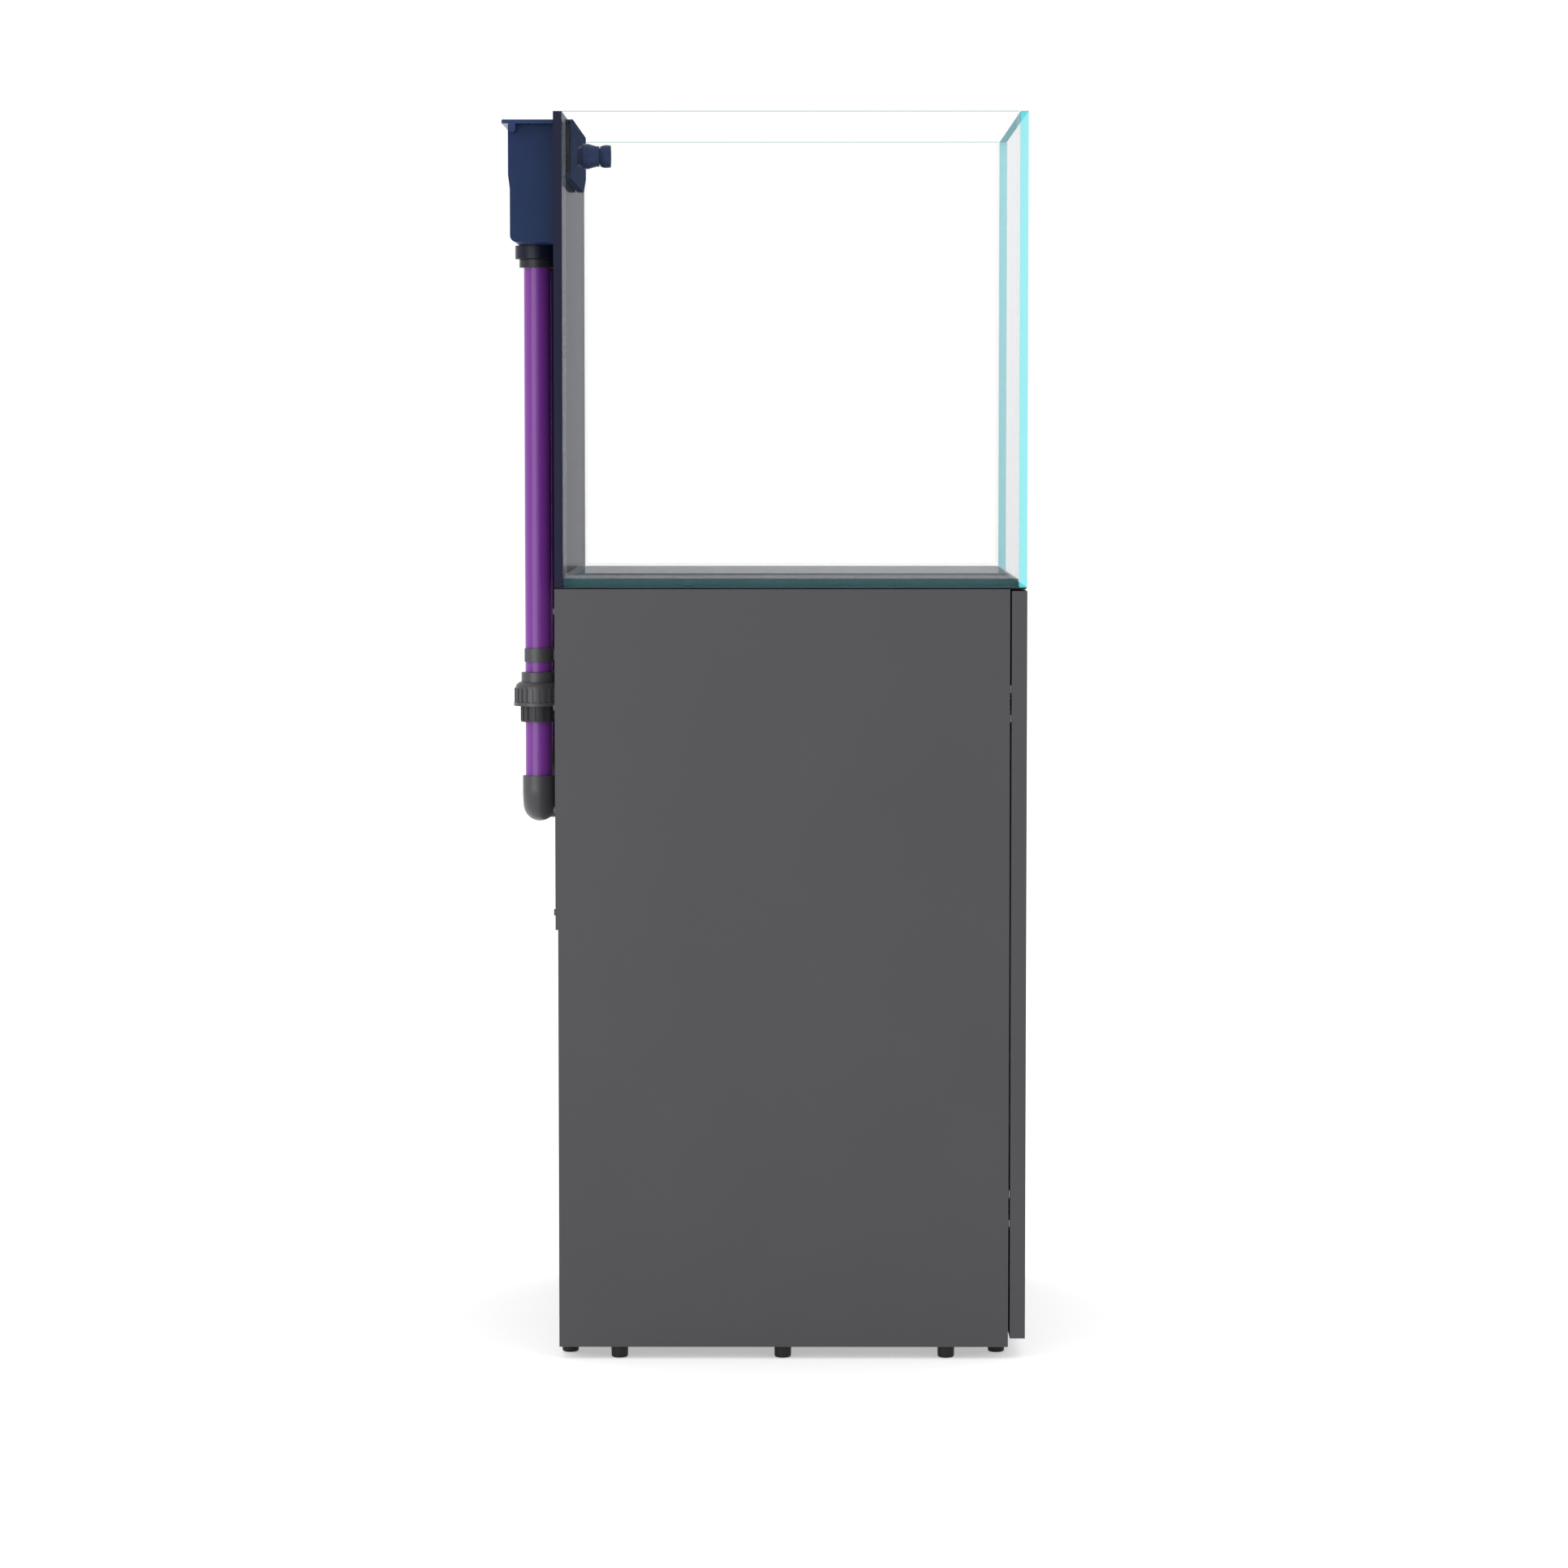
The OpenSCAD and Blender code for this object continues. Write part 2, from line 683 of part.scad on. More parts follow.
// A swept tube: the outer rings come first, then the inner ones
module return_hose() {
  rings = len(hose_route);
  n = hose_sides;
  bore_r = socket_r + 0.25;
  points = [for (r = [hose_r, bore_r], p = hose_route) for (q = hose_ring(p, r)) q];
  function at(inner, ring, k) = (inner * rings + ring) * n + k % n;
  outside = [for (i = [0:rings - 2], k = [0:n - 1])
    [at(0, i, k), at(0, i, k + 1), at(0, i + 1, k + 1), at(0, i + 1, k)]];
  inside = [for (i = [0:rings - 2], k = [0:n - 1])
    [at(1, i, k), at(1, i + 1, k), at(1, i + 1, k + 1), at(1, i, k + 1)]];
  top_end = [for (k = [0:n - 1]) [at(0, 0, k), at(1, 0, k), at(1, 0, k + 1), at(0, 0, k + 1)]];
  low_end = [for (k = [0:n - 1])
    [at(0, rings - 1, k), at(0, rings - 1, k + 1), at(1, rings - 1, k + 1), at(1, rings - 1, k)]];
  color(c_black) translate([entry_x, return_inner_y, 0])
    rotate([0, 0, atan2(hose_dy, hose_dx)])
      polyhedron(points, concat(outside, inside, top_end, low_end), convexity = 4);
}

module hose_clamps() {
  module clamp_ring() {
    difference() {
      union() {
        cylinder(r = hose_r + 1.2, h = 9);
        translate([-5, -hose_r - 7, 0.5]) cube([10, 8, 8]);
      }
      translate([0, 0, -1]) cylinder(r = hose_r + 0.1, h = 11);
    }
  }
  color(c_metal) {
    translate([entry_x, return_inner_y, hose_top_z - 18]) clamp_ring();
    translate([pump_x, pump_y, hose_end_z + 9]) clamp_ring();
  }
}

// ---- cabinet ----

foot_xy_row = [for (sx = [-1, 1], y = [-213, -21, 171]) [sx * (half_w - 14), y]];
foot_xy_corner = [for (sx = [-1, 1], y = [carcass_front_y + 12, carcass_back_y - 11])
  [sx * (half_w - 50), y]];
foot_xy = concat(foot_xy_row, foot_xy_corner);
peg_r = 3;
peg_h = 10;

module foot_holes() {
  for (p = foot_xy) translate([p[0], p[1], foot_h - 1]) cylinder(r = peg_r + 0.05, h = peg_h + 1.5);
}

back_screw_xz = concat(
  [for (sx = [-1, 1], z = [20, 140, 260, 372]) [sx * (half_w - board_t / 2), side_top_z - back_h + z]],
  [for (x = [-190, 0, 190]) [x, side_top_z - board_t / 2]]);
back_screw_r = 1.8;
back_screw_l = 15;

module back_screw_holes() {
  for (p = back_screw_xz)
    translate([p[0], 0, p[1]]) rod_y(back_screw_r + 0.05, back_y + 1, back_y - back_screw_l - 0.5);
}

module side_board(x0) {
  color(c_board) difference() {
    block([x0, carcass_front_y, foot_h], [x0 + board_t, carcass_back_y, side_top_z]);
    foot_holes();
    back_screw_holes();
  }
}

module left_side() { side_board(-half_w); }

module right_side() { side_board(inner_half_w); }

module cabinet_top() {
  color(c_board) difference() {
    block([-inner_half_w, carcass_front_y, side_top_z - board_t],
          [inner_half_w, carcass_back_y, side_top_z]);
    back_screw_holes();
  }
}

module cabinet_base() {
  color(c_board) difference() {
    block([-inner_half_w, carcass_front_y, foot_h],
          [inner_half_w, carcass_back_y, foot_h + board_t]);
    foot_holes();
  }
}

module back_panel() {
  color(c_board) difference() {
    block([-half_w, carcass_back_y, side_top_z - back_h], [half_w, back_y, side_top_z]);
    back_screw_holes();
    translate([entry_x, 0, return_elbow_z]) rod_y(22, back_y + 1, carcass_back_y - 1);
    for (x = [main_x, emergency_x])
      translate([x, 0, drain_elbow_z]) rod_y(22, back_y + 1, carcass_back_y - 1);
    // room for the union nuts and for a hand on them
    for (x = line_xs)
      translate([x, 0, union_half + 8]) rod_y(26, back_y + 1, carcass_back_y - 1);
  }
}

module rear_stretcher() {
  color(c_board) block([-inner_half_w, carcass_back_y - board_t, foot_h + board_t],
                       [inner_half_w, carcass_back_y, foot_h + board_t + 80]);
}

module feet() {
  color(c_black) for (p = foot_xy) translate([p[0], p[1], 0]) {
    rotate_extrude() polygon([[0, 0], [8.6, 0], [9.8, 1.6], [10, foot_h - 1], [9.6, foot_h],
                              [peg_r, foot_h], [peg_r, foot_h + peg_h], [0, foot_h + peg_h]]);
  }
}

module back_screws() {
  color(c_metal) for (p = back_screw_xz) translate([p[0], 0, p[1]]) {
    rod_y(back_screw_r, back_y + 0.2, back_y - back_screw_l);
    difference() {
      rod_y(3.8, back_y + 2, back_y);
      block([-2.4, back_y + 1.1, -0.5], [2.4, back_y + 3, 0.5]);
      block([-0.5, back_y + 1.1, -2.4], [0.5, back_y + 3, 2.4]);
    }
  }
}

// ---- doors and their cup hinges ----

// Places a child drawn in [inwards, forwards, up] at the left or right side board
module at_side(side) {
  mirror([side > 0 ? 1 : 0, 0, 0]) translate([-half_w, carcass_front_y, 0])
    mirror([0, 1, 0]) children();
}

module door(side) {
  color(c_board) at_side(side) difference() {
    block([0, door_gap, door_z], [door_w, door_gap + board_t, door_top_z]);
    for (z = hinge_zs) translate([cup_x, door_gap - 1, z]) rotate([-90, 0, 0])
      cylinder(r = hinge_cup_d / 2 + 0.05, h = 13.2);
  }
}

module left_door() { door(-1); }

module right_door() { door(1); }

module hinge_cup(z) {
  cup_depth = 12;
  translate([cup_x, door_gap, z]) {
    difference() {
      union() {
        rotate([-90, 0, 0]) cylinder(r = hinge_cup_d / 2, h = cup_depth);
        block([-10, -1, -21.5], [14, 0, 21.5]);
      }
      translate([0, -2, 0]) rotate([-90, 0, 0]) cylinder(r = hinge_cup_d / 2 - 1, h = cup_depth + 1);
    }
  }
  // pivot pin across the cup
  translate([hinge_b[0], hinge_b[1], z - 10]) cylinder(r = 1.2, h = 20);
}

module hinge_cups(side) {
  color(c_metal) at_side(side) for (z = hinge_zs) hinge_cup(z);
}

module left_hinge_cups() { hinge_cups(-1); }

module right_hinge_cups() { hinge_cups(1); }

link_path = [hinge_b, [11.6, 9.2], [17.2, 7.4], [20.4, 1.4], hinge_a];
link_t = 2;

function unit_normal(p, q) = [p[1] - q[1], q[0] - p[0]] / norm(q - p);

// One side of a strip of thickness 2 * t along the path, mitred at its bends
function strip_side(path, t) = [for (i = [0:len(path) - 1])
  let (before = unit_normal(path[max(i - 1, 0)], path[max(i, 1)]),
       after = unit_normal(path[min(i, len(path) - 2)], path[min(i + 1, len(path) - 1)]))
  path[i] + t * (before + after) / (1 + before * after)];

function backwards(v) = [for (i = [len(v) - 1 : -1 : 0]) v[i]];

module hinge_link(z) {
  half_h = 4.5;
  translate([0, 0, z - half_h]) difference() {
    union() {
      linear_extrude(2 * half_h)
        polygon(concat(strip_side(link_path, link_t / 2),
                       backwards(strip_side(link_path, -link_t / 2))));
      translate(hinge_b) cylinder(r = 2.2, h = 2 * half_h);
      translate(hinge_a) cylinder(r = 3, h = 2 * half_h);
    }
    translate([hinge_b[0], hinge_b[1], -1]) cylinder(r = 1.25, h = 20);
    translate([hinge_a[0], hinge_a[1], -1]) cylinder(r = 1.55, h = 20);
  }
}

module hinge_links(side) {
  color(c_metal) at_side(side) for (z = hinge_zs) hinge_link(z);
}

module left_hinge_links() { hinge_links(-1); }

module right_hinge_links() { hinge_links(1); }

module hinge_arm(z) {
  // mounting plate on the side board
  block([board_t, -62, z - 8], [board_t + 2, -26, z + 8]);
  block([board_t, -50, z - 24], [board_t + 2, -38, z + 24]);
  // channel-shaped arm
  difference() {
    block([board_t + 2, -64, z - 7], [board_t + 11.5, -8, z + 7]);
    block([board_t + 3.5, -65, z - 5.2], [board_t + 10, -7, z + 5.2]);
    block([board_t + 1, -24, z - 5.2], [board_t + 12.5, -7, z + 5.2]);
  }
  translate([hinge_a[0], hinge_a[1], z - 8]) cylinder(r = 1.5, h = 16);
  for (dz = [-20, 20]) translate([board_t + 2, -44, z + dz]) rotate([0, 90, 0])
    cylinder(r = 3.4, h = 1.4);
  translate([board_t + 11.5, -52, z]) rotate([0, 90, 0]) cylinder(r = 3.4, h = 1.4);
}

module hinge_arms() {
  color(c_metal) for (side = [-1, 1]) at_side(side) for (z = hinge_zs) hinge_arm(z);
}

// ---- push latches ----

latch_x = 20;
latch_z = side_top_z - board_t - 7;

module latch_bodies() {
  color(c_fitting) for (x = [-latch_x, latch_x]) translate([x, carcass_front_y, latch_z])
    difference() {
      union() {
        block([-6, 4.5, -7], [6, 72, 7]);
        block([-11, 20, 5], [11, 60, 7]);
      }
      rod_y(3.1, 66, 4);
    }
}

module latch_plunger(x) {
  color("white") translate([x, carcass_front_y, latch_z]) {
    rod_y(3, 50, -0.3);
    rod_y(4.6, -0.2, -1.7);
  }
}

module left_latch_plunger() { latch_plunger(-latch_x); }

module right_latch_plunger() { latch_plunger(latch_x); }

// ---- sump ----

module sump_tank() {
  t = sump_t;
  color(c_glass) difference() {
    block([sump_x0, sump_y0, sump_z], [sump_x1, sump_y1, sump_z + sump_h]);
    block([sump_x0 + t, sump_y0 + t, sump_z + t], [sump_x1 - t, sump_y1 - t, sump_z + sump_h + 1]);
  }
}

// Over, under and over: three walls that trap bubbles, and the shelf that
// holds the filter sock
module sump_baffles() {
  t = sump_t;
  y0 = sump_y0 + t;
  y1 = sump_y1 - t;
  floor_z = sump_z + t;
  color(c_glass) {
    block([baffle_x, y0, floor_z], [baffle_x + t, y1, floor_z + 190]);
    block([baffle_x + 20, y0, floor_z + 26], [baffle_x + 20 + t, y1, floor_z + 240]);
    block([baffle_x + 40, y0, floor_z], [baffle_x + 40 + t, y1, shelf_z]);
    difference() {
      block([baffle_x + 40, sock_y - 78, shelf_z], [sump_x1 - t, y1, shelf_z + t]);
      translate([sock_x, sock_y, shelf_z - 1]) cylinder(r = 50.6, h = t + 2);
    }
  }
}

module sock_ring() {
  z = shelf_z + sump_t;
  color("white") translate([sock_x, sock_y, 0]) difference() {
    union() {
      translate([0, 0, z + 0.1]) cylinder(r = 58, h = 4);
      translate([0, 0, z + 4]) cylinder(r = 52, h = 6);
    }
    translate([0, 0, z - 1]) cylinder(r = 48.6, h = 20);
  }
}

module sock_bag() {
  z1 = shelf_z + sump_t + 0.1;
  z0 = z1 - 170;
  color("white") translate([sock_x, sock_y, 0]) difference() {
    union() {
      translate([0, 0, z0 + 12]) cylinder(r = 50, h = z1 - z0 - 12);
      translate([0, 0, z0]) cylinder(r1 = 40, r2 = 50, h = 12);
    }
    translate([0, 0, z0 + 12]) cylinder(r = 48.4, h = z1 - z0);
    translate([0, 0, z0 + 2]) cylinder(r1 = 39, r2 = 48.4, h = 10 + eps);
  }
}

module return_pump() {
  color(c_black) translate([pump_x, pump_y, pump_z]) difference() {
    union() {
      // motor
      rod_y(31, -12, -104);
      for (i = [0:5]) rod_y(33, -22 - i * 13, -26 - i * 13);
      // volute and outlet
      rod_y(37, 16, -14);
      cylinder(r = 16, h = pump_out_z - pump_z);
      // feet
      block([-30, -98, -42], [30, -86, -20]);
      block([-30, -6, -42], [30, 8, -20]);
    }
    // impeller chamber, intake and outlet
    rod_y(30, 12, -10);
    rod_y(13, 17, 10);
    translate([0, 0, 20]) cylinder(r = 11.5, h = 200);
    rod_y(3.05, -9, -60);
  }
}

module pump_impeller() {
  vanes = 6;
  color("white") translate([pump_x, pump_y, pump_z]) {
    rod_y(26, -5, -8);
    rod_y(6, 6, -5.5);
    rod_y(3, -7.5, -55);
    for (i = [0:vanes - 1]) rotate([0, i * 360 / vanes, 0])
      block([4, -5.5, -1.2], [25, 5, 1.2]);
  }
}

// ---- the assembly ----

front_glass();
back_glass();
left_glass();
right_glass();
base_glass();
tank_silicone();
support_mat();
weir_hood();
weir_comb();
glass_gaskets();
overflow_box();
overflow_lid();
box_screws();
bulkhead_bodies();
bulkhead_nuts();
pipe_collars();
return_riser();
standpipes();
nozzle_base();
nozzle_segment();
nozzle_tip();
return_pipes();
drain_pipes();
union_sockets();
union_bodies();
return_union_nut();
main_union_nut();
emergency_union_nut();
return_elbows();
drain_elbows();
pipe_clips();
gate_valve_body();
valve_gate();
valve_handwheel();
return_hose();
hose_clamps();
left_side();
right_side();
cabinet_top();
cabinet_base();
back_panel();
rear_stretcher();
feet();
back_screws();
left_door();
right_door();
hinge_arms();
left_hinge_links();
right_hinge_links();
left_hinge_cups();
right_hinge_cups();
latch_bodies();
left_latch_plunger();
right_latch_plunger();
sump_tank();
sump_baffles();
sock_ring();
sock_bag();
return_pump();
pump_impeller();
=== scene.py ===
import json
import math

import bmesh
import bpy
from mathutils import Matrix, Vector


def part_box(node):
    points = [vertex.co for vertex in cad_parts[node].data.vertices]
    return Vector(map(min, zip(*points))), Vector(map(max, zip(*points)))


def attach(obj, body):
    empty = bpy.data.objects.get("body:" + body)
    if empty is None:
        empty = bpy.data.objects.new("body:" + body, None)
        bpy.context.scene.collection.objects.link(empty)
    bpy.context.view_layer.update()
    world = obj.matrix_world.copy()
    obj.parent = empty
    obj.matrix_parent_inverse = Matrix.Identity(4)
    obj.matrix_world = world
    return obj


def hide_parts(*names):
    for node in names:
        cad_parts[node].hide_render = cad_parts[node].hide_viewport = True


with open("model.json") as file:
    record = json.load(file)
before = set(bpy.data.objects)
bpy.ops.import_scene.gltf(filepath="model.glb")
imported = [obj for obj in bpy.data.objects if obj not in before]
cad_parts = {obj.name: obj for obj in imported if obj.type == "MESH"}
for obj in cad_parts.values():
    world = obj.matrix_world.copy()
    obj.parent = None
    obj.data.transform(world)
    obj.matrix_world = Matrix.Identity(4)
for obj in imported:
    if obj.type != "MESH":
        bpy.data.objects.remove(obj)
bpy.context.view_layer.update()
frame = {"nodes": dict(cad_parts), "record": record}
NODES = frame["nodes"]
MM = 0.001


# ---- camera, light and floor ----

CAM_PLACE = Vector((-5.9862, -0.0384, 1.0781))
CAM_YAW, CAM_PITCH = 0.0028, 0.0704   # radians: towards +Y, and downwards
CAM_LENS, CAM_SENSOR = 112.29, 36.0   # mm
CAM_FAR = 100

SKY = 1.03                            # strength of the even white sky
STRIP_PLACE, STRIP_TARGET = (-2.75, 1.77, 0.9), (-0.15, 0.27, 0.9)
STRIP_SIZE, STRIP_WATTS = (2.2, 3.2), 56

FLOOR_REACH = 30.0
FLOOR_Z = -0.0005                     # just under the feet, so no faces coincide
FLOOR_GREY = (0.85, 0.85, 0.86, 1)
FLOOR_GLOW = 0.42                     # lifts the floor towards the white sky


def aim(obj, place, target):
    """Puts obj at place, with its -Z axis pointing at target."""
    obj.location = place
    obj.rotation_euler = (target - place).to_track_quat("-Z", "Y").to_euler()


def add_camera():
    data = bpy.data.cameras.new("camera")
    data.lens = CAM_LENS
    data.sensor_width = CAM_SENSOR
    data.clip_end = CAM_FAR
    cam = bpy.data.objects.new("camera", data)
    bpy.context.scene.collection.objects.link(cam)
    look = Vector((math.cos(CAM_PITCH) * math.cos(CAM_YAW),
                   math.cos(CAM_PITCH) * math.sin(CAM_YAW), -math.sin(CAM_PITCH)))
    aim(cam, CAM_PLACE, CAM_PLACE + look)
    bpy.context.scene.camera = cam


def add_strip():
    """A softbox that only draws a line down the pipes: the even sky gives all the fill."""
    data = bpy.data.lights.new("strip", "AREA")
    data.shape = "RECTANGLE"
    data.size, data.size_y = STRIP_SIZE
    data.energy = STRIP_WATTS
    lamp = bpy.data.objects.new("strip", data)
    lamp.visible_diffuse = False
    lamp.visible_camera = False
    bpy.context.scene.collection.objects.link(lamp)
    aim(lamp, Vector(STRIP_PLACE), Vector(STRIP_TARGET))


def add_world():
    world = bpy.data.worlds.new("studio")
    world.use_nodes = True
    back = world.node_tree.nodes["Background"]
    back.inputs["Color"].default_value = (1, 1, 1, 1)
    back.inputs["Strength"].default_value = SKY
    bpy.context.scene.world = world


def add_floor():
    """A pale floor that keeps a faint contact shadow."""
    mesh = bpy.data.meshes.new("floor")
    corners = [(x * FLOOR_REACH, y * FLOOR_REACH, 0)
               for x, y in ((-1, -1), (1, -1), (1, 1), (-1, 1))]
    mesh.from_pydata(corners, [], [(0, 1, 2, 3)])
    floor = bpy.data.objects.new("floor", mesh)
    floor.location.z = FLOOR_Z
    bpy.context.scene.collection.objects.link(floor)
    mat = bpy.data.materials.new("floor_paint")
    mat.use_nodes = True
    p = mat.node_tree.nodes["Principled BSDF"]
    p.inputs["Base Color"].default_value = FLOOR_GREY
    p.inputs["Roughness"].default_value = 0.9
    p.inputs["Specular IOR Level"].default_value = 0.0
    p.inputs["Emission Color"].default_value = (1, 1, 1, 1)
    p.inputs["Emission Strength"].default_value = FLOOR_GLOW
    mesh.materials.append(mat)


# ---- materials ----
# Noise and wave scales are per metre, bump depths in metres.

# Sockets of the Mix node that belong to its colour mode
MIX_A, MIX_B, MIX_RESULT = 6, 7, 2


class Paint:
    """A material with one Principled shader, built up by small steps."""

    def __init__(self, name, roughness=0.5, metallic=0.0, ior=1.5, specular=0.5):
        self.mat = bpy.data.materials.new(name)
        self.mat.use_nodes = True
        self.tree = self.mat.node_tree
        self.shader = self.tree.nodes["Principled BSDF"]
        self.set("Roughness", roughness)
        self.set("Metallic", metallic)
        self.set("IOR", ior)
        self.set("Specular IOR Level", specular)
        self.place = self.node("ShaderNodeTexCoord").outputs["Object"]

    def set(self, socket, value):
        self.shader.inputs[socket].default_value = value

    def node(self, kind, **settings):
        n = self.tree.nodes.new(kind)
        for key, value in settings.items():
            setattr(n, key, value)
        return n

    def link(self, out, to):
        self.tree.links.new(out, to)

    def stretched(self, scale):
        m = self.node("ShaderNodeMapping")
        m.inputs["Scale"].default_value = scale
        self.link(self.place, m.inputs["Vector"])
        return m.outputs["Vector"]

    def noise(self, scale, detail=3, stretch=None):
        n = self.node("ShaderNodeTexNoise")
        n.inputs["Scale"].default_value = scale
        n.inputs["Detail"].default_value = detail
        self.link(self.stretched(stretch) if stretch else self.place, n.inputs["Vector"])
        return n.outputs["Fac"]

    def ranged(self, value, low, high, start=0.3, end=0.7):
        """value from start to end becomes low to high; noise stays mostly in 0.3 to 0.7."""
        n = self.node("ShaderNodeMapRange")
        n.inputs["From Min"].default_value = start
        n.inputs["From Max"].default_value = end
        n.inputs["To Min"].default_value = low
        n.inputs["To Max"].default_value = high
        self.link(value, n.inputs["Value"])
        return n.outputs["Result"]

    def blend(self, factor, a, b):
        n = self.node("ShaderNodeMix", data_type="RGBA")
        self.link(factor, n.inputs["Factor"])
        n.inputs[MIX_A].default_value = (*a, 1)
        n.inputs[MIX_B].default_value = (*b, 1)
        return n.outputs[MIX_RESULT]

    def colours(self, value, a, b, start=0.3, end=0.7):
        self.link(self.blend(self.ranged(value, 0, 1, start, end), a, b),
                  self.shader.inputs["Base Color"])

    def rough(self, value, low, high, start=0.3, end=0.7):
        self.link(self.ranged(value, low, high, start, end), self.shader.inputs["Roughness"])

    def bump(self, value, depth, strength):
        n = self.node("ShaderNodeBump")
        n.inputs["Distance"].default_value = depth
        n.inputs["Strength"].default_value = strength
        self.link(value, n.inputs["Height"])
        self.link(n.outputs["Normal"], self.shader.inputs["Normal"])


def shade(colour, k):
    return tuple(c * k for c in colour)


def board_paint():
    """Satin laminate: a fine pearl texture and a hardly visible cloudiness."""
    grey = (0.0505, 0.0492, 0.056)
    p = Paint("laminate", specular=0.4)
    p.colours(p.noise(7, detail=4), shade(grey, 0.97), shade(grey, 1.03))
    grain = p.noise(1600, detail=2)
    p.rough(grain, 0.46, 0.56)
    p.bump(grain, 0.00006, 0.5)
    return p.mat


def plastic(name, colour, roughness, bump=0.00008, grain=900, specular=0.5):
    """Moulded or extruded plastic: slight colour drift and an orange-peel surface."""
    p = Paint(name, roughness=roughness, specular=specular)
    p.colours(p.noise(14, detail=3), shade(colour, 0.95), shade(colour, 1.05))
    p.rough(p.noise(60, detail=3), roughness * 0.85, roughness * 1.15)
    p.bump(p.noise(grain, detail=2), bump, 0.4)
    return p.mat


def pipe_paint():
    """Extruded pipe: faint lines along its length."""
    purple = (0.215, 0.042, 0.335)
    p = Paint("purple_pipe", specular=0.35, ior=1.45)
    lines = p.noise(30, detail=3, stretch=(30, 30, 0.4))
    p.colours(lines, shade(purple, 0.93), shade(purple, 1.07))
    p.rough(lines, 0.11, 0.17)
    p.bump(lines, 0.00003, 0.3)
    return p.mat


def pane_face(name, tint, at_slant):
    """Polished face of a clear pane: nearly invisible head on; at a slant its pale tint turns
    opaque, a painted reflection of the white surroundings.
    """
    p = Paint(name, roughness=0.02, specular=0.0)
    p.colours(p.noise(3, detail=2), shade(tint, 0.98), shade(tint, 1.02))
    slant = p.node("ShaderNodeLayerWeight")
    slant.inputs["Blend"].default_value = 0.5
    # painted reflection: the pale tint grows opaque towards a slant
    alpha = p.ranged(slant.outputs["Facing"], 0.01, at_slant, 0.5, 1.0)
    p.link(alpha, p.shader.inputs["Alpha"])
    return p.mat


def pane_edge(name, tint, alpha, specular=0.1):
    """Ground and polished edge: the blue-green of glass seen along the pane."""
    p = Paint(name, specular=specular)
    p.colours(p.noise(25, detail=3, stretch=(1, 1, 0.2)), shade(tint, 0.97), shade(tint, 1.03))
    p.rough(p.noise(400, detail=2), 0.1, 0.25)
    p.set("Alpha", alpha)
    return p.mat


def dark_pane():
    """Back-painted glass: near black head on, a soft mirror at a slant."""
    dark = (0.022, 0.024, 0.045)
    p = Paint("dark_pane", ior=1.0055)
    p.colours(p.noise(6, detail=3), shade(dark, 0.94), shade(dark, 1.06))
    p.rough(p.noise(120, detail=2), 0.015, 0.035)
    return p.mat


def silicone():
    """Clear beads, slightly uneven from the tooling."""
    p = Paint("silicone_clear", roughness=0.3)
    p.colours(p.noise(90, detail=3), (0.72, 0.8, 0.82), (0.8, 0.86, 0.88))
    p.bump(p.noise(220, detail=3), 0.0002, 0.4)
    p.set("Alpha", 0.1)
    return p.mat


def steel(name, colour, roughness):
    """Plated pressed steel: brushed lines and a slightly uneven gloss."""
    p = Paint(name, metallic=1.0)
    lines = p.noise(40, detail=3, stretch=(1, 1, 40))
    p.colours(p.noise(30, detail=3), shade(colour, 0.92), shade(colour, 1.08))
    p.rough(lines, roughness * 0.75, roughness * 1.3)
    p.bump(lines, 0.00004, 0.3)
    return p.mat


def felt():
    """Needle felt: tangled fibres, soft at its edges."""
    p = Paint("needle_felt", roughness=0.95, specular=0.2)
    fibres = p.noise(700, detail=5)
    p.colours(fibres, (0.66, 0.66, 0.62), (0.84, 0.84, 0.81))
    p.bump(fibres, 0.0012, 0.7)
    p.set("Sheen Weight", 0.4)
    return p.mat


def hose_paint():
    """Flexible PVC hose: a fine helical cord under a satin skin."""
    grey = (0.03, 0.03, 0.033)
    p = Paint("flexible_hose")
    rings = p.node("ShaderNodeTexWave", bands_direction="Z")
    rings.inputs["Scale"].default_value = 60
    rings.inputs["Distortion"].default_value = 0.6
    p.link(p.place, rings.inputs["Vector"])
    p.colours(p.noise(30, detail=3), shade(grey, 0.9), shade(grey, 1.1))
    p.rough(rings.outputs["Fac"], 0.36, 0.5, 0, 1)
    p.bump(rings.outputs["Fac"], 0.0004, 0.5)
    return p.mat


def foam():
    """Closed-cell foam: small round cells."""
    p = Paint("mat_foam", roughness=0.95, specular=0.2)
    cells = p.node("ShaderNodeTexVoronoi")
    cells.inputs["Scale"].default_value = 900
    p.link(p.place, cells.inputs["Vector"])
    p.colours(p.noise(20, detail=3), (0.012, 0.012, 0.013), (0.022, 0.022, 0.024))
    p.bump(cells.outputs["Distance"], 0.0003, 0.6)
    return p.mat


LAMINATE = board_paint()
PURPLE = pipe_paint()
GREY_PVC = plastic("grey_fitting", (0.069, 0.068, 0.074), 0.33, specular=0.34)
BLUE = plastic("blue_acrylic", (0.012, 0.029, 0.09), 0.28, specular=0.11)
BLACK = plastic("black_plastic", (0.012, 0.012, 0.013), 0.45, specular=0.2)
LID = plastic("blue_lid", (0.016, 0.037, 0.115), 0.28, specular=0.15)
WEIR = plastic("blue_weir", (0.019, 0.03, 0.066), 0.5, specular=0.0)
NUT = plastic("dark_nut", (0.01, 0.014, 0.03), 0.3, specular=0.16)
# union bodies: darker than the grey fittings, partly their own tone and partly painted shade
# under the union nuts
UNION = plastic("union_body", (0.042, 0.042, 0.045), 0.4, specular=0.25)
COLLAR = plastic("dark_collar", (0.027, 0.027, 0.029), 0.34, specular=0.2)
WHITE = plastic("white_plastic", (0.72, 0.72, 0.7), 0.4)
RED = plastic("red_plastic", (0.42, 0.02, 0.018), 0.3)
RUBBER = plastic("black_rubber", (0.014, 0.014, 0.015), 0.7, bump=0.0002, grain=500)
STEEL = steel("nickel_steel", (0.55, 0.54, 0.52), 0.3)
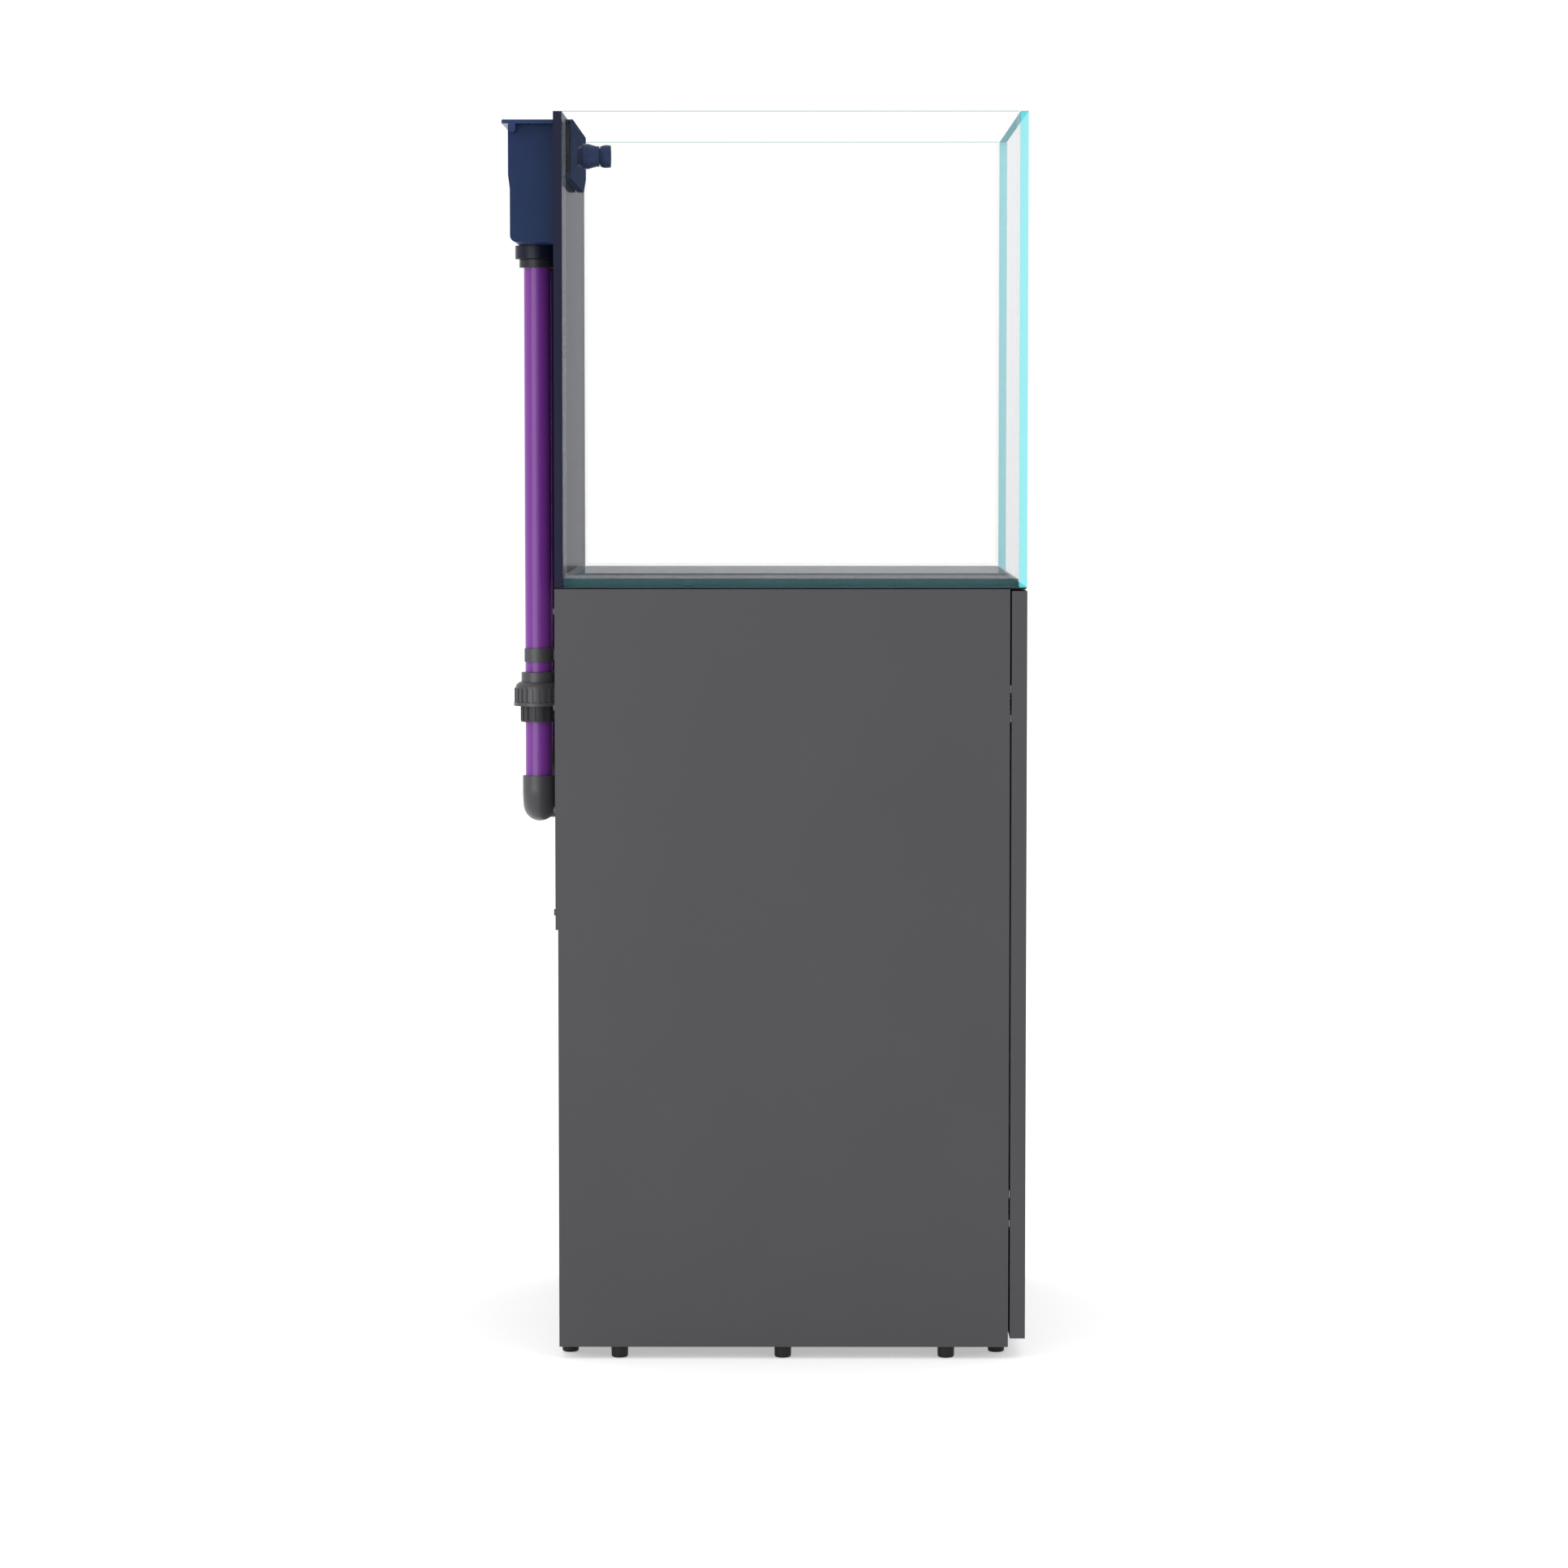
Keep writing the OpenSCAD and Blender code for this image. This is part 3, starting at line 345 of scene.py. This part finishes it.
SCREW = steel("dark_zinc", (0.12, 0.12, 0.125), 0.5)
FELT = felt()
FOAM = foam()
HOSE = hose_paint()
SILICONE = silicone()
DARK_PANE = dark_pane()
# pale tints that show at a slant: painted reflection on the pane faces
PANE_FACE = pane_face("pane_face", (0.62, 0.66, 0.72), 0.17)
BASE_FACE = pane_face("base_face", (0.55, 0.55, 0.6), 0.25)
PANE_SIDE = pane_edge("pane_side", (0.13, 0.74, 0.79), 0.75)
# painted shade: the level edges get a darker copy of the side tint
SHADED_PANE_RIM = pane_edge("pane_rim_shaded", (0.05, 0.34, 0.37), 0.88, 0.0)
# painted shade: the base's edges are a much darker copy of the edge tint
SHADED_BASE_SIDE = pane_edge("base_side_shaded", (0.04, 0.125, 0.14), 0.72, 0.0)

SLOT_PAINT = {
    "board_grey": LAMINATE, "purple_pvc": PURPLE, "grey_pvc": GREY_PVC, "blue_acrylic": BLUE,
    "black_plastic": BLACK, "white_plastic": WHITE, "handwheel_red": RED, "rubber": RUBBER,
    "steel": STEEL, "felt": FELT, "mat_foam": FOAM, "silicone": SILICONE,
    "dark_glass": DARK_PANE, "tank_glass": PANE_FACE, "sump_glass": PANE_FACE,
}
NODE_SLOT = {s["node"]: s["material_slot"] for s in frame["record"]["subparts"]}
NODE_BODY = {n: body for body, ns in frame["record"]["behaviour"]["bodies"].items() for n in ns}


def paint(obj, *mats):
    obj.data.materials.clear()
    for m in mats:
        obj.data.materials.append(m)


def add_object(name, mesh):
    obj = bpy.data.objects.new(name, mesh)
    bpy.context.scene.collection.objects.link(obj)
    return obj


def stand_for(obj, node):
    """obj takes a CAD node's place and body."""
    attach(obj, NODE_BODY[node])
    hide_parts(node)


# ---- pieces ----

WELD = 1e-6                       # vertices nearer than this are one
FLAT = math.radians(0.5)          # faces that meet at less than this are one
CREASE = math.radians(40)         # shading stays sharp above this
EDGE_ANGLE = 35                   # degrees: edges that turn by more are eased
AXIAL = 0.9                       # part of a normal that makes a face square to an axis
GLASS_EASE = 0.0005
FACE, SIDE, RIM = 0, 1, 2         # a pane's materials: polished faces, upright and level edges


def clean_copy(node):
    """The CAD node's surface as a bmesh, with its flat areas in one face each."""
    bm = bmesh.new()
    bm.from_mesh(NODES[node].data)
    bmesh.ops.remove_doubles(bm, verts=bm.verts, dist=WELD)
    bmesh.ops.dissolve_limit(bm, angle_limit=FLAT, verts=bm.verts, edges=bm.edges)
    return bm


def ease(obj, width, angle=EDGE_ANGLE, segments=2):
    """Rounds the edges that turn by more than angle, in degrees."""
    bevel = obj.modifiers.new("ease", "BEVEL")
    bevel.width = width
    bevel.segments = segments
    bevel.limit_method = "ANGLE"
    bevel.angle_limit = math.radians(angle)
    bevel.use_clamp_overlap = True
    even = obj.modifiers.new("even", "WEIGHTED_NORMAL")
    even.keep_sharp = True


def finished(node, bm, *mats):
    """A smooth-shaded object from bm that takes the CAD node's place."""
    mesh = bpy.data.meshes.new(node + "_made")
    for m in mats or [SLOT_PAINT[NODE_SLOT[node]]]:
        mesh.materials.append(m)
    bm.to_mesh(mesh)
    bm.free()
    obj = add_object(node + "_made", mesh)
    for f in mesh.polygons:
        f.use_smooth = True
    mesh.set_sharp_from_angle(angle=CREASE)
    stand_for(obj, node)
    return obj


def refined(node, width, *mats, **how):
    """A copy of a CAD node with its sharp edges eased by a small radius."""
    obj = finished(node, clean_copy(node), *mats)
    ease(obj, width, **how)
    return obj


def eased_glass(node, bm, *mats):
    ease(finished(node, bm, *mats), GLASS_EASE, segments=1)


def pane(node, thin, mats, gaps=(0, 0)):
    """A pane of the tank that is thin along axis 0, 1 or 2.

    gaps is how far it stands back from its neighbours in X and Y, for the silicone in
    the joints. An upright pane's ends that stand back are clear, like its faces."""
    bm = clean_copy(node)
    low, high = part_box(node)
    for v in bm.verts:
        for k, gap in enumerate(gaps):
            v.co[k] -= math.copysign(gap, v.co[k] - (low[k] + high[k]) / 2)
    for f in bm.faces:
        n = f.normal
        glued = thin != 2 and gaps[1] > 0 and abs(n.y) > AXIAL
        if abs(n[thin]) > AXIAL or glued:
            f.material_index = FACE
        else:
            # level edges take the darker rim tint, which is painted shade
            f.material_index = RIM if abs(n.z) > AXIAL else SIDE
    eased_glass(node, bm, *mats)


def make_tank():
    joint = 0.0003
    upright = (PANE_FACE, PANE_SIDE, SHADED_PANE_RIM)
    pane("front_glass", 1, upright)
    pane("left_glass", 0, upright, (0, joint))
    pane("right_glass", 0, upright, (0, joint))
    pane("base_glass", 2, (BASE_FACE, SHADED_BASE_SIDE, SHADED_BASE_SIDE), (joint, joint))
    refined("back_glass", 0.0006, segments=1)
    mat = refined("support_mat", 0.0006)


# Nodes by the radius of their edges, in metres
EASED = {
    0.0005: ["left_side", "right_side", "cabinet_top", "cabinet_base", "rear_stretcher",
             "left_door", "right_door"],
    0.0003: ["back_panel", "weir_comb", "box_screws", "hinge_arms", "hose_clamps",
             "left_hinge_links", "right_hinge_links", "left_hinge_cups", "right_hinge_cups",
             "left_latch_plunger", "right_latch_plunger"],
    0.0006: ["overflow_box", "bulkhead_bodies", "union_sockets", "standpipes",
             "return_riser", "latch_bodies", "pipe_clips", "valve_gate", "pump_impeller"],
    0.0008: ["return_union_nut", "main_union_nut", "emergency_union_nut", "return_elbows",
             "drain_elbows", "feet", "sock_ring", "gate_valve_body", "return_pump"],
    0.0016: ["valve_handwheel"],
}


# Nodes whose paint differs from the rest of their material slot
OWN_PAINT = (
    ("return_hose", 0.0008, HOSE),
    ("back_screws", 0.0003, SCREW),
    ("pipe_collars", 0.0005, COLLAR),
    ("overflow_lid", 0.0006, LID),
    ("weir_hood", 0.0006, WEIR),
    ("bulkhead_nuts", 0.0006, NUT),
    ("union_bodies", 0.0005, UNION),
)


def make_fittings():
    for width, nodes in EASED.items():
        for node in nodes:
            refined(node, width)
    for node, width, mat in OWN_PAINT:
        refined(node, width, mat)
    for node in ("nozzle_base", "nozzle_segment", "nozzle_tip"):
        refined(node, 0.0002, angle=50, segments=1)


def make_sump():
    """The sump's upper rim is one ring-shaped face, so its height tells it from the faces."""
    rim_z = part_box("sump_tank")[1][2] - 1 * MM
    bm = clean_copy("sump_tank")
    for f in bm.faces:
        rim = f.normal.z > AXIAL and f.calc_center_median().z > rim_z
        f.material_index = SIDE if rim else FACE
    eased_glass("sump_tank", bm, PANE_FACE, PANE_SIDE)


def make_baffles():
    """The baffles and the shelf are separate thin panes, whose edges are narrow faces."""
    edge_width = 8 * MM
    bm = clean_copy("sump_baffles")
    for f in bm.faces:
        corners = [v.co for v in f.verts]
        spans = sorted(max(c[k] for c in corners) - min(c[k] for c in corners)
                       for k in range(3))
        f.material_index = SIDE if spans[1] <= edge_width else FACE
    eased_glass("sump_baffles", bm, PANE_FACE, PANE_SIDE)


def wave(angle):
    """A sine that runs from 0 to 1."""
    return 0.5 + 0.5 * math.sin(angle)


def make_sock():
    """Felt filter bag that hangs from its ring. Slack folds deepen towards a rounded bottom."""
    low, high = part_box("sock_bag")
    centre = Vector(((low[0] + high[0]) / 2, (low[1] + high[1]) / 2, 0))
    outer, height = (high[0] - low[0]) / 2 - 0.2 * MM, high[2] - low[2]
    wall = 1.5 * MM
    inner_floor = wall + 0.2 * MM
    bottom = 0.016                # height of the rounded part
    around, rows, bottom_rows = 96, 44, 8
    fold_depth, waist_depth = 3.2 * MM, 1.4 * MM
    narrow_folds, wide_folds = 7, 3
    twist, wide_start = 2.4, -1.7     # radians
    kept_round = 0.9              # how far the folds fade at -X and +X, beside the drop pipes
    bm = bmesh.new()

    def radius(z, t, inset):
        down = 1 - z / height
        folds = wave(narrow_folds * t + twist * down) * wave(wide_folds * t + wide_start)
        slack = fold_depth * down ** 1.5 * folds + waist_depth * math.sin(math.pi * down)
        slack *= 1 - kept_round * math.cos(t) ** 4
        curl = max(0.0, 1 - z / bottom)
        return (outer - slack - inset) * math.sqrt(max(0.0, 1 - curl ** 2))

    def ring(z, inset):
        return [bm.verts.new(centre + Vector((radius(z, t, inset) * math.cos(t),
                                              radius(z, t, inset) * math.sin(t), low[2] + z)))
                for t in (math.tau * k / around for k in range(around))]

    def skin(rings, inwards):
        for a, b in zip(rings, rings[1:]):
            for k in range(around):
                m = (k + 1) % around
                face = [a[k], a[m], b[m], b[k]]
                bm.faces.new(face[::-1] if inwards else face)

    steps = [bottom * (1 - math.cos(math.pi / 2 * i / bottom_rows))
             for i in range(1, bottom_rows + 1)]
    steps += [bottom + (height - bottom) * i / rows for i in range(1, rows + 1)]
    outside = [ring(z, 0) for z in steps]
    inside = [ring(max(z, inner_floor), wall) for z in steps[2:]]
    skin(outside, False)
    skin(inside, True)
    for k in range(around):
        m = (k + 1) % around
        bm.faces.new([outside[-1][k], outside[-1][m], inside[-1][m], inside[-1][k]])
    bm.faces.new(outside[0][::-1])
    bm.faces.new(inside[0])
    bmesh.ops.recalc_face_normals(bm, faces=bm.faces)
    finished("sock_bag", bm)
    make_seam(centre, outer, height, low[2])


def make_seam(centre, outer, height, z0):
    """Two lines of stitches down the front of the bag."""
    stitches, radius, stretch = 60, 0.45 * MM, (1, 0.8, 2.0)
    apart, sunk = 1.6 * MM, 1.2 * MM
    start, margins = 0.02, 0.024
    bm = bmesh.new()
    for side in (-1, 1):
        for i in range(stitches):
            z = z0 + start + (height - margins) * i / stitches
            place = Matrix.Translation(centre + Vector((side * apart, -(outer - sunk), z)))
            stitch = bmesh.ops.create_icosphere(bm, subdivisions=1, radius=radius, matrix=place)
            bmesh.ops.scale(bm, vec=stretch, verts=stitch["verts"], space=place.inverted())
    mesh = bpy.data.meshes.new("sock_stitches")
    bm.to_mesh(mesh)
    bm.free()
    seam = add_object("sock_stitches", mesh)
    paint(seam, WHITE)
    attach(seam, NODE_BODY["sock_bag"])


add_camera()
add_world()
add_strip()
bpy.context.scene.view_settings.view_transform = "Standard"
add_floor()
for node, obj in NODES.items():
    paint(obj, SLOT_PAINT[NODE_SLOT[node]])
make_tank()
make_fittings()
make_sump()
make_baffles()
make_sock()
